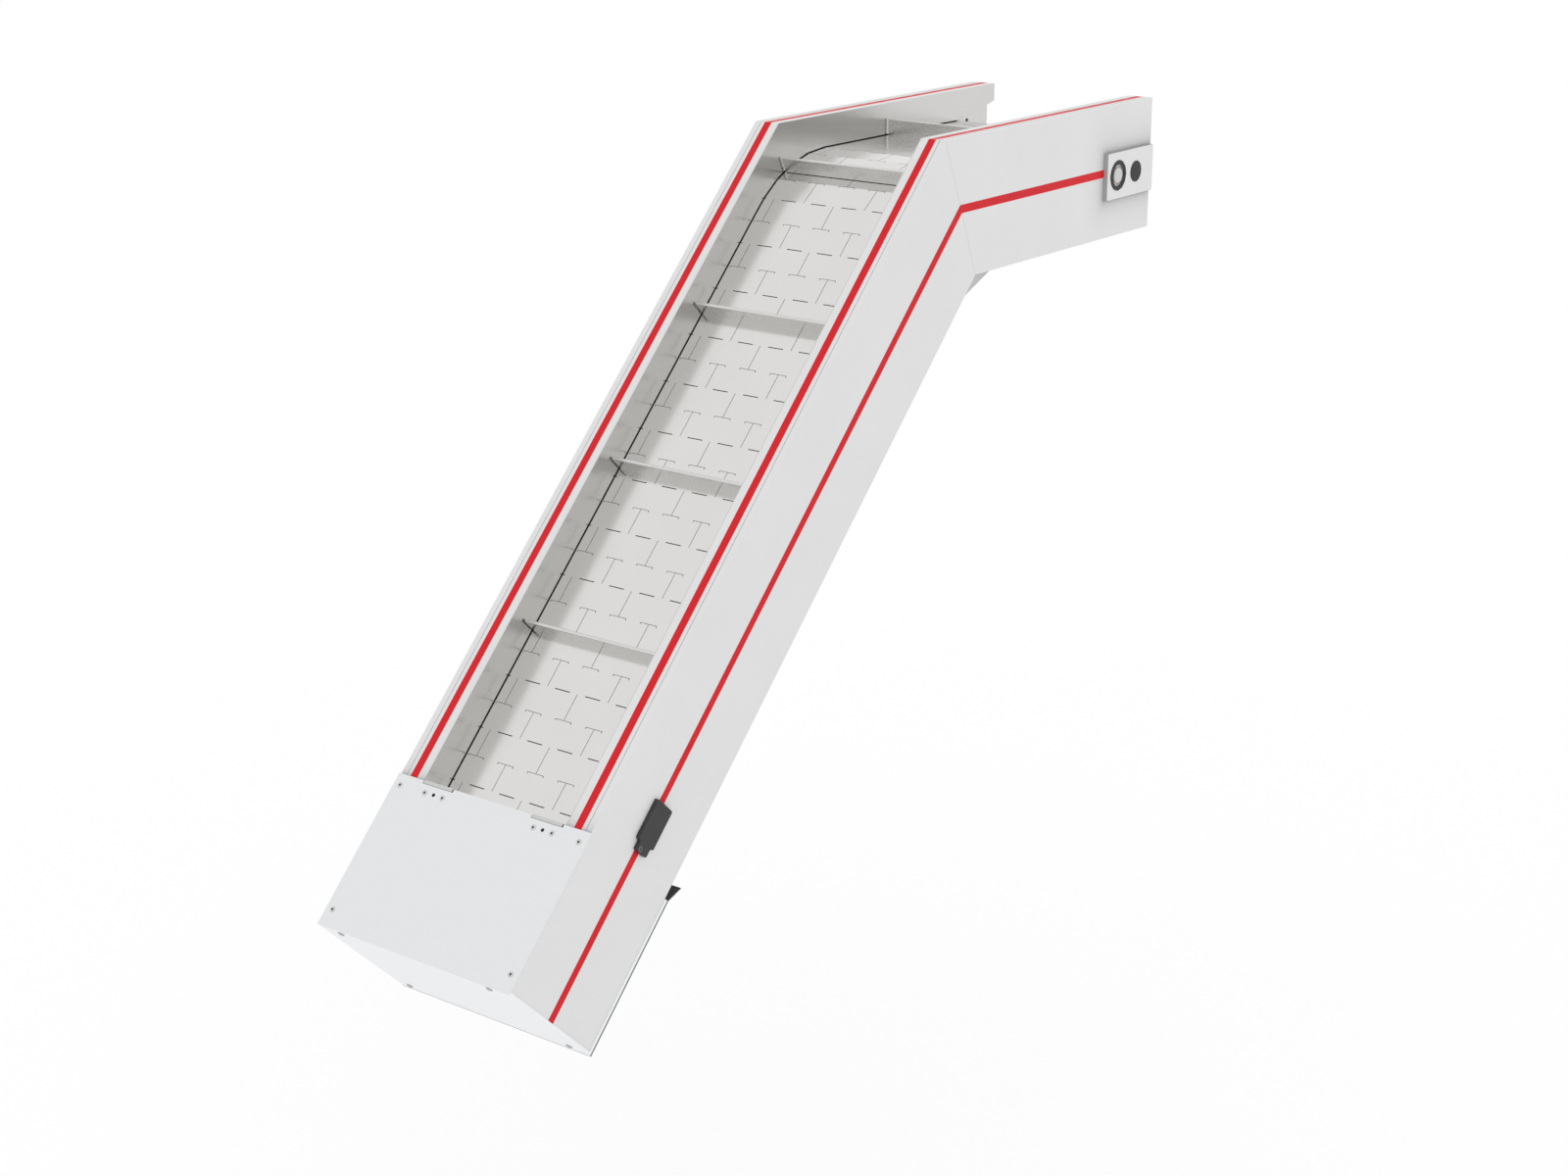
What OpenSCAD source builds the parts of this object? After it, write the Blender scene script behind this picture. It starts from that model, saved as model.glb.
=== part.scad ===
// Inclined plate belt conveyor: hollow side beams, a hinged plate belt with
// upright cleats, a closed tail box and a level head section.
// The origin is the middle of the head cross plate's underside.
// +X is the direction of travel, +Y is left of it, +Z is up.

/* [Frame] */
// Width of one side beam
beam_w = 52; // [46:1:70]
// Height of the side beams
beam_h = 249; // [200:1:300]
// Wall of the hollow side beams
beam_wall = 4; // [3:0.5:6]
// Rise of the incline in degrees
knee_angle = 45; // [30:1:50]
// Top edge of the incline, from the knee to the tail
incline_l = 1632; // [1200:1:2600]
// Top edge of the head section, from the knee to its end
head_l = 716; // [560:1:1000]
// Length of the cut-back at the lower end of the head beams
notch_l = 26; // [15:1:35]
// Height of the full-length lip above the cut-back
notch_drop = 34; // [20:1:50]
// Slope of the cut-back's upper corner, in height
notch_slope = 6; // [3:1:10]

/* [Strips] */
// Thickness of the inlaid strips
strip_t = 2.5; // [1.5:0.5:3]
// Width of the strip in the top face
top_strip_w = 15; // [10:0.5:18]
// Outer face to the middle of the top strip
top_strip_inset = 28; // [25:0.5:30]
// Width of the strip in the outer face
side_strip_w = 15; // [10:0.5:20]
// Top edge to the middle of the side strip
side_strip_drop = 125; // [110:1:130]
// Outer face to the fine groove in the top face
groove_inset = 12; // [6:0.5:14]
// Width and depth of the fine groove
groove_w = 0.8; // [0.5:0.1:1.5]

/* [Belt] */
// Width of the plate belt
belt_w = 306; // [240:1:500]
// Side gap between the belt and a beam
belt_side_gap = 1; // [1:0.5:8]
// Thickness of the belt plates
belt_t = 10; // [6:0.5:12]
// Top edge of the beams down to the belt's carrying face
belt_drop = 59.5; // [50:0.5:62]
// Radius of the belt's carrying face over the knee
bend_r = 280; // [270:1:340]
// End of the head beams to the head shaft
head_inset = 135; // [130:1:140]
// End of the incline beams to the tail shaft
tail_inset = 169; // [120:1:200]
// Nominal length of a plate row, from hinge to hinge
row_pitch = 50; // [45:0.5:55]
// Tail end of the carrying run to a hinge between two rows
hinge_start = 38.5; // [0:0.1:50]
// Distance from one cleat to the next, along the belt
cleat_gap = 328.2; // [250:0.1:400]
// Tail end of the carrying run to the first cleat
cleat_start = 102.5; // [60:0.5:160]
// Height of a cleat
cleat_h = 30; // [20:1:31]
// Thickness of a cleat
cleat_t = 6; // [4:0.5:10]
// Side of the belt to the end of a cleat
cleat_inset = 3; // [1:0.5:10]
// Gap between a seated piece and what carries it
seat_gap = 0.3; // [0.2:0.05:0.4]

/* [Belt support] */
// Thickness of the slider bed
bed_t = 3; // [2:0.5:5]
// Plate rows left free between the slider bed and a shaft
bed_free_rows = 1; // [1:1:3]
// Gap between the return guides and the ends of the cleats
guide_gap = 0.5; // [0.3:0.1:1]
// Thickness of the return guides
guide_t = 6; // [4:0.5:8]

/* [Shafts] */
// Radius of both shafts
shaft_r = 15; // [10:0.5:17]
// Radial clearance of the round fits
fit_gap = 0.1; // [0.05:0.05:0.15]
// Radius of the shaft holes in the beams
hole_r = 20; // [19:0.5:24]
// Number of sprockets on a shaft
sprocket_count = 3; // [2:1:4]
// Width of a sprocket
sprocket_w = 30; // [20:1:40]
// Outer radius of the tail bearings
tail_bearing_r = 26; // [25:0.5:30]
// Width of the tail bearings
tail_bearing_w = 12; // [8:0.5:16]

/* [Head plates] */
// Length of a head plate
plate_l = 171; // [165:1:175]
// Height of a head plate
plate_h = 89; // [75:1:100]
// Thickness of a head plate
plate_t = 8.5; // [6:0.5:12]
// Head plate's tail edge to the shaft
plate_lead = 39.5; // [36:0.5:42]
// Outer radius of the bearing ring
ring_r = 29; // [26:0.5:30]
// Inner radius of the bearing ring
ring_hole_r = 21; // [18:0.5:22]
// How far the ring stands out of the head plate
ring_proud = 1; // [0.5:0.1:2]
// How far the shaft end lies below the ring
shaft_recess = 0.2; // [0.1:0.1:3]
// How far the sleeve lies below the ring
sleeve_recess = 2; // [1:0.1:3]
// Radius of the round cap on the head plate
cap_r = 20; // [15:0.5:22]
// Thickness of the cap
cap_t = 1; // [0.5:0.1:2]
// Shaft to the middle of the cap
cap_offset = 66; // [60:0.5:75]

/* [Tail box] */
// Length of the tail covers over the beams
cover_l = 274.5; // [240:0.5:300]
// Thickness of the top cover
cover_t = 2.5; // [1.5:0.5:4]
// How far the covers stand out past the beams
cover_lip = 2.5; // [1:0.5:4]
// Thickness of the end plate
end_t = 5; // [2:0.5:8]
// Thickness of the bottom cover
bottom_t = 5; // [2:0.5:8]
// Thickness of the dark lining under the bottom cover
lining_t = 2.5; // [1.5:0.5:4]
// Thickness of the guard sheet under the lining
guard_t = 2; // [1.5:0.5:4]
// Length of the flared lip, along the incline
lip_l = 31.5; // [20:0.5:45]
// Drop of the flared lip
lip_drop = 16; // [8:0.5:25]
// Width of a cover bracket and its notch
bracket_w = 68; // [50:1:75]
// Side gap between a cover bracket and a beam
bracket_gap = 1.5; // [1:0.5:10]
// Length of a cover bracket below the cover
bracket_l = 42; // [32:1:60]
// Thickness of a cover bracket
bracket_t = 3; // [2:0.5:5]
// Depth of the notch in the cover
cover_notch = 5.5; // [4:0.5:8]
// How far the bracket's front bar rises into the notch
bracket_rise = 2; // [0.5:0.5:2.5]
// How far the front bar stands out of the cover's edge
bar_out = 1.5; // [0.5:0.5:3]
// Gap between the front bar and the notch
bar_gap = 1; // [0.5:0.25:1.5]
// Cover edge to the small hole between the bracket screws
cover_hole_inset = 19; // [15:0.5:24]
// Radius of the small hole
cover_hole_r = 2.5; // [1.5:0.5:3]

/* [Underside] */
// Thickness of the bottom pans
pan_t = 2; // [1:0.5:3]
// Gap between the returning cleats and the pans
pan_gap = 4.2; // [3:0.1:10]
// Head pan's end to the beams' end
pan_setback = 15; // [5:1:40]
// Thickness of the cross plates
cross_t = 8; // [6:0.5:12]
// Length of a cross plate
cross_l = 120; // [110:1:160]
// Knee to the middle of the head cross plate
mount_x = 400; // [300:1:450]
// Knee to the middle of the incline's cross plate
cross_incline = 700; // [500:1:1000]
// Radius of the bolt holes in the cross plates
bolt_r = 5.5; // [4:0.5:7]
// Bolt spacing along the conveyor
bolt_dx = 80; // [60:1:90]
// Inner face of a beam to the bolts
bolt_inset = 44; // [20:1:60]
// Leg length of the knee bracket
knee_leg = 60; // [40:1:75]
// Plate thickness of the knee bracket
knee_t = 5; // [3:0.5:6]
// Outer face to the knee bracket
knee_inset = 6; // [5:1:20]

/* [Controller] */
// End of the incline beams to the controller
ctrl_inset = 302; // [290:1:400]
// Length of the controller's case
ctrl_l = 72; // [50:1:80]
// Height of the controller's case
ctrl_h = 48; // [35:1:60]
// Thickness of the controller
ctrl_t = 8; // [6:0.5:14]
// Top edge of the beam down to the controller
ctrl_drop = 105; // [100:1:110]
// Length of the controller's narrow end
ctrl_end_l = 17; // [12:1:20]
// Height of the controller's narrow end
ctrl_end_h = 32; // [24:1:34]
// Middle of the narrow end to the button, toward the tail
button_shift = 2; // [0:0.5:2]
// Middle of the narrow end up to the button
button_rise = 9; // [0:0.5:9]
// Radius of the button on the narrow end
button_r = 5; // [3:0.5:6]
// How far the button stands out
button_t = 1; // [0.5:0.1:2]

/* [Hidden] */

$fn = 96;
over = 1;
half_tan = tan(knee_angle / 2);
inner_y = belt_w / 2 + belt_side_gap;
half_w = inner_y + beam_w;
head_axis = head_l - head_inset;
tail_axis = incline_l - tail_inset;

// Cleat height, pan and cross plate set how far down the return run can lie
pan_drop = beam_h - cross_t - pan_t;
wrap_r = (pan_drop - pan_gap - seat_gap - cleat_h - belt_drop) / 2;

// Belt path: both runs bend about one centre below the knee
axis_drop = belt_drop + wrap_r;
return_drop = axis_drop + wrap_r;
bend_x = (belt_drop + bend_r) * half_tan;
bend_drop = belt_drop + bend_r;
return_r = bend_drop - return_drop;

run_incline = tail_axis - bend_x;
run_knee = bend_r * knee_angle * PI / 180;
run_head = head_axis - bend_x;
run_wrap = PI * wrap_r;
run_knee_back = return_r * knee_angle * PI / 180;
at_head = run_incline + run_knee;
at_wrap = at_head + run_head;
at_return = at_wrap + run_wrap;
at_knee_back = at_return + run_head;
at_incline_back = at_knee_back + run_knee_back;
at_tail = at_incline_back + run_incline;
loop_l = at_tail + run_wrap;
row_count = round(loop_l / row_pitch);
row_l = loop_l / row_count;
cleat_count = floor(loop_l / cleat_gap);
cleat_half_w = belt_w / 2 - cleat_inset;
wrap_half_step = asin(row_l / 2 / wrap_r);
sprocket_r = wrap_r * cos(wrap_half_step) - belt_t - seat_gap;

plate_x = head_axis - plate_lead;
notch_x = head_l - notch_l;
tail_end = incline_l + end_t;
cover_start = incline_l - cover_l;
cover_y = half_w + cover_lip;
bottom_drop = beam_h + bottom_t;
lining_drop = bottom_drop + lining_t;
bar_w = bracket_w - 2 * bar_gap;
bracket_y = inner_y - bracket_gap - bracket_w / 2;
ring_face = half_w + plate_t + ring_proud;
shaft_end = ring_face - shaft_recess;
ctrl_end = incline_l - ctrl_inset;
ctrl_case_end = ctrl_end - ctrl_end_l;
ctrl_middle = ctrl_drop + ctrl_h / 2;
button_x = ctrl_end - ctrl_end_l / 2 + button_shift;
button_drop = ctrl_middle - button_rise;

// Head section's own axes: x from the knee, z down from the top edge
module at_knee_corner() {
    translate([-mount_x, 0, beam_h]) children();
}

// Incline's own axes: -x runs down from the knee, z is square to it
module on_incline() {
    at_knee_corner() rotate([0, -knee_angle, 0]) children();
}

// Extrudes an outline drawn in x and z across the conveyor
module across(from, to) {
    translate([0, to, 0]) rotate([90, 0, 0]) linear_extrude(to - from) children();
}

module both_sides() {
    children();
    mirror([0, 1, 0]) children();
}

// A straight layer of the incline between two depths, mitred at the knee
module incline_layer(top, bottom, low, high = 0) {
    polygon([[-low, -top], [-high - top * half_tan, -top],
        [-high - bottom * half_tan, -bottom], [-low, -bottom]]);
}

// The same layer of the head section
module head_layer(top, bottom, end, extra = 0) {
    polygon([[top * half_tan - extra, -top], [end, -top],
        [end, -bottom], [bottom * half_tan - extra, -bottom]]);
}

// A point of the incline's own axes, seen from the knee corner
function incline_point(x, z) = [x * cos(knee_angle) - z * sin(knee_angle),
    x * sin(knee_angle) + z * cos(knee_angle)];

// A layer that follows the beams from tail to head in one piece
module bent_layer(top, bottom, low, end, from, to) {
    at_knee_corner() across(from, to)
        polygon([incline_point(-low, -top), [top * half_tan, -top], [end, -top],
            [end, -bottom], [bottom * half_tan, -bottom], incline_point(-low, -bottom)]);
}

function round_point(centre, r, angle) = centre + r * [cos(angle), sin(angle)];

// The belt's outer face at a length s along the loop, moved inward by depth
function belt_point(s, depth) =
    s < 0 ? belt_point(s + loop_l, depth) :
    s < run_incline ? incline_point(s - tail_axis, -belt_drop - depth) :
    s < at_head ? round_point([bend_x, -bend_drop], bend_r - depth,
        90 + knee_angle * (1 - (s - run_incline) / run_knee)) :
    s < at_wrap ? [bend_x + s - at_head, -belt_drop - depth] :
    s < at_return ? round_point([head_axis, -axis_drop], wrap_r - depth,
        90 - 180 * (s - at_wrap) / run_wrap) :
    s < at_knee_back ? [head_axis - s + at_return, depth - return_drop] :
    s < at_incline_back ? round_point([bend_x, -bend_drop], return_r + depth,
        90 + knee_angle * (s - at_knee_back) / run_knee_back) :
    s < at_tail ? incline_point(at_incline_back - bend_x - s, depth - return_drop) :
    s < loop_l ? round_point(incline_point(-tail_axis, -axis_drop), wrap_r - depth,
        knee_angle - 90 - 180 * (s - at_tail) / run_wrap) :
    belt_point(s - loop_l, depth);

// The same for the hinge line after row number i
function hinge_point(i, depth) = belt_point(hinge_start + i * row_l, depth);

function rows_before(s) = floor((s - hinge_start) / row_l);

// A layer between two depths that follows the flat plate rows first to last
module row_layer(top, bottom, first, last, from, to) {
    at_knee_corner() across(from, to)
        polygon([for (i = [first:last]) hinge_point(i, top),
            for (i = [last:-1:first]) hinge_point(i, bottom)]);
}

module hollow_beam_cut() {
    outer = half_w - beam_wall - strip_t;
    across(inner_y + beam_wall, outer) children();
}

// Carries a layer cut to the top strip, the side strip and the fine groove
module top_slot_span() {
    across(half_w - top_strip_inset - top_strip_w / 2,
        half_w - top_strip_inset + top_strip_w / 2) children();
}

module groove_span() {
    across(half_w - groove_inset - groove_w / 2,
        half_w - groove_inset + groove_w / 2) children();
}

module incline_beam() {
    side_top = side_strip_drop - side_strip_w / 2;
    on_incline() difference() {
        across(inner_y, half_w) incline_layer(0, beam_h, incline_l);
        hollow_beam_cut()
            incline_layer(beam_wall + strip_t, beam_h - beam_wall,
                incline_l + over, -over);
        top_slot_span() incline_layer(-over, strip_t, incline_l + over, -over);
        groove_span() incline_layer(-over, groove_w, incline_l + over, -over);
        across(half_w - strip_t, half_w + over)
            incline_layer(side_top, side_top + side_strip_w, incline_l + over, -over);
        translate([-tail_axis, inner_y + beam_wall / 2, -axis_drop])
            rotate([90, 0, 0]) cylinder(r = hole_r, h = beam_wall + over, center = true);
    }
}

module head_beam() {
    side_top = side_strip_drop - side_strip_w / 2;
    at_knee_corner() difference() {
        across(inner_y, half_w) head_layer(0, beam_h, head_l);
        hollow_beam_cut()
            head_layer(beam_wall + strip_t, beam_h - beam_wall,
                notch_x - beam_wall, over);
        top_slot_span() head_layer(-over, strip_t, head_l + over, over);
        groove_span() head_layer(-over, groove_w, head_l + over, over);
        across(half_w - strip_t, half_w + over)
            head_layer(side_top, side_top + side_strip_w, plate_x, over);
        across(inner_y - over, half_w - beam_wall - strip_t)
            polygon([[head_l + over, -notch_drop + over], [notch_x, -notch_drop - notch_slope],
                [notch_x, -beam_h - over], [head_l + over, -beam_h - over]]);
        translate([head_axis, half_w, -axis_drop])
            rotate([90, 0, 0]) cylinder(r = hole_r, h = 2 * beam_w + 2 * over, center = true);
    }
}

module top_strip() {
    bent_layer(0, strip_t, incline_l, head_l,
        half_w - top_strip_inset - top_strip_w / 2,
        half_w - top_strip_inset + top_strip_w / 2);
}

module side_strip() {
    bent_layer(side_strip_drop - side_strip_w / 2, side_strip_drop + side_strip_w / 2,
        incline_l, plate_x, half_w - strip_t, half_w);
}

module incline_beam_right() {
    color("gainsboro") mirror([0, 1, 0]) incline_beam();
}

module incline_beam_left() {
    color("gainsboro") incline_beam();
}

module head_beam_right() {
    color("gainsboro") mirror([0, 1, 0]) head_beam();
}

module head_beam_left() {
    color("gainsboro") head_beam();
}

module top_strip_right() {
    color("crimson") mirror([0, 1, 0]) top_strip();
}

module top_strip_left() {
    color("crimson") top_strip();
}

module side_strip_right() {
    color("crimson") mirror([0, 1, 0]) side_strip();
}

module side_strip_left() {
    color("crimson") side_strip();
}

module tail_cover() {
    color("whitesmoke") on_incline() difference() {
        translate([-tail_end, -cover_y, 0])
            cube([tail_end - cover_start, 2 * cover_y, cover_t]);
        both_sides() {
            translate([-cover_start - cover_notch, bracket_y - bracket_w / 2, -over])
                cube([cover_notch + over, bracket_w, cover_t + 2 * over]);
            translate([-cover_start - cover_hole_inset, bracket_y, cover_t / 2])
                cylinder(r = cover_hole_r, h = cover_t + 2 * over, center = true);
        }
    }
}

module cover_brackets() {
    color("lightgray") on_incline() both_sides() difference() {
        union() {
            translate([-cover_start - bracket_l, bracket_y - bar_w / 2, -bracket_t])
                cube([bracket_l, bar_w, bracket_t]);
            translate([-cover_start - cover_notch + bar_gap, bracket_y - bar_w / 2,
                    -bracket_t])
                cube([cover_notch - bar_gap + bar_out, bar_w, bracket_t + bracket_rise]);
        }
        translate([-cover_start - cover_hole_inset, bracket_y, -bracket_t / 2])
            cylinder(r = cover_hole_r, h = bracket_t + 2 * over, center = true);
    }
}

module end_plate() {
    color("whitesmoke") on_incline() translate([-tail_end, -cover_y, -beam_h])
        cube([end_t, 2 * cover_y, beam_h]);
}

module bottom_cover() {
    color("whitesmoke") on_incline() translate([-tail_end, -cover_y, -bottom_drop])
        cube([tail_end - cover_start, 2 * cover_y, bottom_t]);
}

// A sheet under the bottom cover whose upper end flares away from it
module flared_sheet(top, bottom) {
    on_incline() across(-cover_y, cover_y)
        polygon([[-tail_end, -top], [-cover_start, -top],
            [-cover_start + lip_l, -top - lip_drop],
            [-cover_start + lip_l, -bottom - lip_drop],
            [-cover_start, -bottom], [-tail_end, -bottom]]);
}

module guard_lining() {
    color("dimgray") flared_sheet(bottom_drop, lining_drop);
}

module lower_guard() {
    color("lightgray") flared_sheet(lining_drop, lining_drop + guard_t);
}

module incline_pan() {
    color("silver") on_incline() across(-inner_y, inner_y)
        incline_layer(pan_drop, pan_drop + pan_t, incline_l);
}

module head_pan() {
    color("silver") at_knee_corner() across(-inner_y, inner_y)
        head_layer(pan_drop, pan_drop + pan_t, head_l - pan_setback);
}

// Triangle under the knee, drawn from the inner corner of the undersides
module knee_triangle(leg) {
    polygon([[0, 0], [leg, 0], [-leg * cos(knee_angle), -leg * sin(knee_angle)]]);
}

module knee_bracket() {
    bracket_y_end = half_w - knee_inset;
    color("darkgray") at_knee_corner()
        translate([beam_h * half_tan, 0, -beam_h]) difference() {
            across(-bracket_y_end, bracket_y_end) knee_triangle(knee_leg);
            across(-bracket_y_end + knee_t, bracket_y_end - knee_t)
                translate([-sin(knee_angle / 2) * knee_t, cos(knee_angle / 2) * knee_t])
                    knee_triangle(knee_leg);
        }
}

module cross_plate() {
    difference() {
        translate([-cross_l / 2, -inner_y, 0]) cube([cross_l, 2 * inner_y, cross_t]);
        for (x = [-1, 1], y = [-1, 1])
            translate([x * bolt_dx / 2, y * (inner_y - bolt_inset), cross_t / 2])
                cylinder(r = bolt_r, h = cross_t + 2 * over, center = true);
    }
}

module head_cross_plate() {
    color("silver") cross_plate();
}

module incline_cross_plate() {
    color("silver") on_incline() translate([-cross_incline, 0, -beam_h]) cross_plate();
}

module belt() {
    last = row_count - 1;
    color("lightgray") at_knee_corner() difference() {
        across(-belt_w / 2, belt_w / 2)
            polygon([for (i = [0:last]) hinge_point(i, 0)]);
        across(-belt_w / 2 - over, belt_w / 2 + over)
            polygon([for (i = [0:last]) hinge_point(i, belt_t)]);
    }
}

// Carries its children to the flat plate at a length s, z pointing outward
module on_plate(s) {
    i = rows_before(s);
    start = hinge_point(i, 0);
    step = hinge_point(i + 1, 0) - start;
    part = (s - hinge_start) / row_l - i;
    at_knee_corner() translate([start[0] + part * step[0], 0, start[1] + part * step[1]])
        rotate([0, -atan2(step[1], step[0]), 0]) children();
}

module cleats() {
    color("lightgray") for (i = [0:cleat_count - 1])
        on_plate(cleat_start + i * cleat_gap)
            translate([-cleat_t / 2, -cleat_half_w, seat_gap])
                cube([cleat_t, 2 * cleat_half_w, cleat_h]);
}

module slider_bed() {
    top = belt_t + seat_gap;
    color("silver") row_layer(top, top + bed_t, bed_free_rows,
        rows_before(at_wrap) - bed_free_rows, -inner_y, inner_y);
}

module return_guides() {
    color("dimgray") both_sides()
        row_layer(-seat_gap, -seat_gap - guide_t, rows_before(at_return) + 1,
            rows_before(at_tail), cleat_half_w + guide_gap, inner_y);
}

module head_plate() {
    at_knee_corner() difference() {
        translate([plate_x, half_w, -axis_drop - plate_h / 2])
            cube([plate_l, plate_t, plate_h]);
        translate([head_axis, half_w + plate_t / 2, -axis_drop])
            rotate([90, 0, 0]) cylinder(r = ring_r, h = plate_t + 2 * over, center = true);
    }
}

module head_plate_right() {
    color("gainsboro") mirror([0, 1, 0]) head_plate();
}

module head_plate_left() {
    color("gainsboro") head_plate();
}

// A ring about the head shaft on the outside of both beams
module head_ring(inner, outer, length) {
    at_knee_corner() both_sides() translate([head_axis, half_w + length, -axis_drop])
        rotate([90, 0, 0]) difference() {
            cylinder(r = outer, h = length);
            translate([0, 0, -over]) cylinder(r = inner, h = length + 2 * over);
        }
}

module bearing_rings() {
    color("dimgray") head_ring(ring_hole_r, ring_r - fit_gap, plate_t + ring_proud);
}

module bearing_sleeves() {
    color("silver") head_ring(shaft_r + fit_gap, ring_hole_r - fit_gap,
        plate_t + ring_proud - sleeve_recess);
}

module plate_caps() {
    color("dimgray") at_knee_corner() both_sides()
        translate([head_axis + cap_offset, half_w + plate_t + cap_t, -axis_drop])
            rotate([90, 0, 0]) cylinder(r = cap_r, h = cap_t);
}

module head_shaft() {
    color("silver") at_knee_corner() translate([head_axis, shaft_end, -axis_drop])
        rotate([90, 0, 0]) cylinder(r = shaft_r, h = 2 * shaft_end);
}

// Toothless drive discs spread evenly along a shaft
module sprockets() {
    step = (belt_w - sprocket_w) / (sprocket_count - 1);
    for (i = [0:sprocket_count - 1])
        translate([0, -belt_w / 2 + sprocket_w + i * step, 0]) rotate([90, 0, 0])
            difference() {
                cylinder(r = sprocket_r, h = sprocket_w);
                translate([0, 0, -over])
                    cylinder(r = shaft_r + fit_gap, h = sprocket_w + 2 * over);
            }
}

module head_sprockets() {
    color("dimgray") at_knee_corner() translate([head_axis, 0, -axis_drop]) sprockets();
}

module tail_sprockets() {
    color("dimgray") on_incline() translate([-tail_axis, 0, -axis_drop]) sprockets();
}

module tail_shaft() {
    half = inner_y + beam_wall + tail_bearing_w;
    color("silver") on_incline() translate([-tail_axis, half, -axis_drop])
        rotate([90, 0, 0]) cylinder(r = shaft_r, h = 2 * half);
}

module tail_bearings() {
    color("dimgray") on_incline() both_sides()
        translate([-tail_axis, inner_y + beam_wall + tail_bearing_w, -axis_drop])
            rotate([90, 0, 0]) difference() {
                cylinder(r = tail_bearing_r, h = tail_bearing_w);
                translate([0, 0, -over])
                    cylinder(r = shaft_r + fit_gap, h = tail_bearing_w + 2 * over);
            }
}

module controller_case() {
    color("dimgray") on_incline() {
        translate([-ctrl_case_end, -half_w - ctrl_t, -ctrl_drop - ctrl_h])
            cube([ctrl_l, ctrl_t, ctrl_h]);
        translate([-ctrl_end, -half_w - ctrl_t, -ctrl_middle - ctrl_end_h / 2])
            cube([ctrl_end_l, ctrl_t, ctrl_end_h]);
    }
}

module controller_button() {
    color("gray") on_incline() translate([-button_x, -half_w - ctrl_t, -button_drop])
        rotate([90, 0, 0]) cylinder(r = button_r, h = button_t);
}

incline_beam_right();
incline_beam_left();
head_beam_right();
head_beam_left();
top_strip_right();
top_strip_left();
side_strip_right();
side_strip_left();
tail_cover();
cover_brackets();
end_plate();
bottom_cover();
guard_lining();
lower_guard();
incline_pan();
head_pan();
knee_bracket();
head_cross_plate();
incline_cross_plate();
belt();
cleats();
slider_bed();
return_guides();
head_plate_right();
head_plate_left();
bearing_rings();
bearing_sleeves();
plate_caps();
head_shaft();
head_sprockets();
tail_shaft();
tail_sprockets();
tail_bearings();
controller_case();
controller_button();
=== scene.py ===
from math import cos, pi, radians, sin, tan

import bmesh
import bpy
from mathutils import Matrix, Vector
from mathutils.geometry import tessellate_polygon


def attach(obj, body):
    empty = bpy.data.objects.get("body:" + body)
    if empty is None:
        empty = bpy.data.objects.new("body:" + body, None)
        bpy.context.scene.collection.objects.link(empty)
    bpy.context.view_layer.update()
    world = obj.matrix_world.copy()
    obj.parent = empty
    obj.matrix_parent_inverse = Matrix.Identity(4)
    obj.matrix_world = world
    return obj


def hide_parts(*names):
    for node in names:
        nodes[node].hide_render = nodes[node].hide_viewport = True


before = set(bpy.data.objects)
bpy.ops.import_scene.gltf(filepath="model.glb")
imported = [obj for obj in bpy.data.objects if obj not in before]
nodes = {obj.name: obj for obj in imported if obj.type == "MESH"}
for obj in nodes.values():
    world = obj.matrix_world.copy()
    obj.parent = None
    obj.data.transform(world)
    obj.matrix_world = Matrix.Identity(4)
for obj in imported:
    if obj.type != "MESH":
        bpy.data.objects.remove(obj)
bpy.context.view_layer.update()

# The photograph's own view: a long lens at chest height, looking down at the
# knee from the tail end and the right-hand side.
CAMERA_AT = (-4.1730, -2.7036, 0.9056)
CAMERA_TO = (-0.5877, 0.0010, -0.5504)
LENS = 60.12
SENSOR = 36.0

camera_data = bpy.data.cameras.new("photo_view")
camera_data.sensor_fit = "HORIZONTAL"
camera_data.sensor_width = SENSOR
camera_data.lens = LENS
camera_data.clip_end = 60
camera = bpy.data.objects.new("photo_view", camera_data)
camera.location = CAMERA_AT
looking = Vector(CAMERA_TO) - Vector(CAMERA_AT)
camera.rotation_euler = looking.to_track_quat("-Z", "Y").to_euler()
bpy.context.scene.collection.objects.link(camera)
bpy.context.scene.camera = camera

# Side beams: hollow boxes folded from sheet steel and mitred at the knee, in a
# light grey powder coat whose skin is slightly pebbled. The faces that look at
# the belt are lined with bare steel, which mirrors the belt softly.
FRAME_GREY = (0.735, 0.735, 0.735)
GROOVE_SHADE = (0.33, 0.33, 0.33)
LINING_STEEL = (0.643, 0.635, 0.622)
INNER_Y = 0.154
OUTER_Y = 0.206
GROOVE_Y = (0.1935, 0.1945)
SLOPE = radians(45)
KNEE = Vector((-0.400, 0.0, 0.249))
PLATE_X = (0.5415, 0.7125)
PLATE_DEPTH = (0.0875, 0.1765)
COVER_T = (1.3575, 1.637)
FRAME_BEAMS = ("incline_beam_right", "incline_beam_left",
               "head_beam_right", "head_beam_left")


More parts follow.
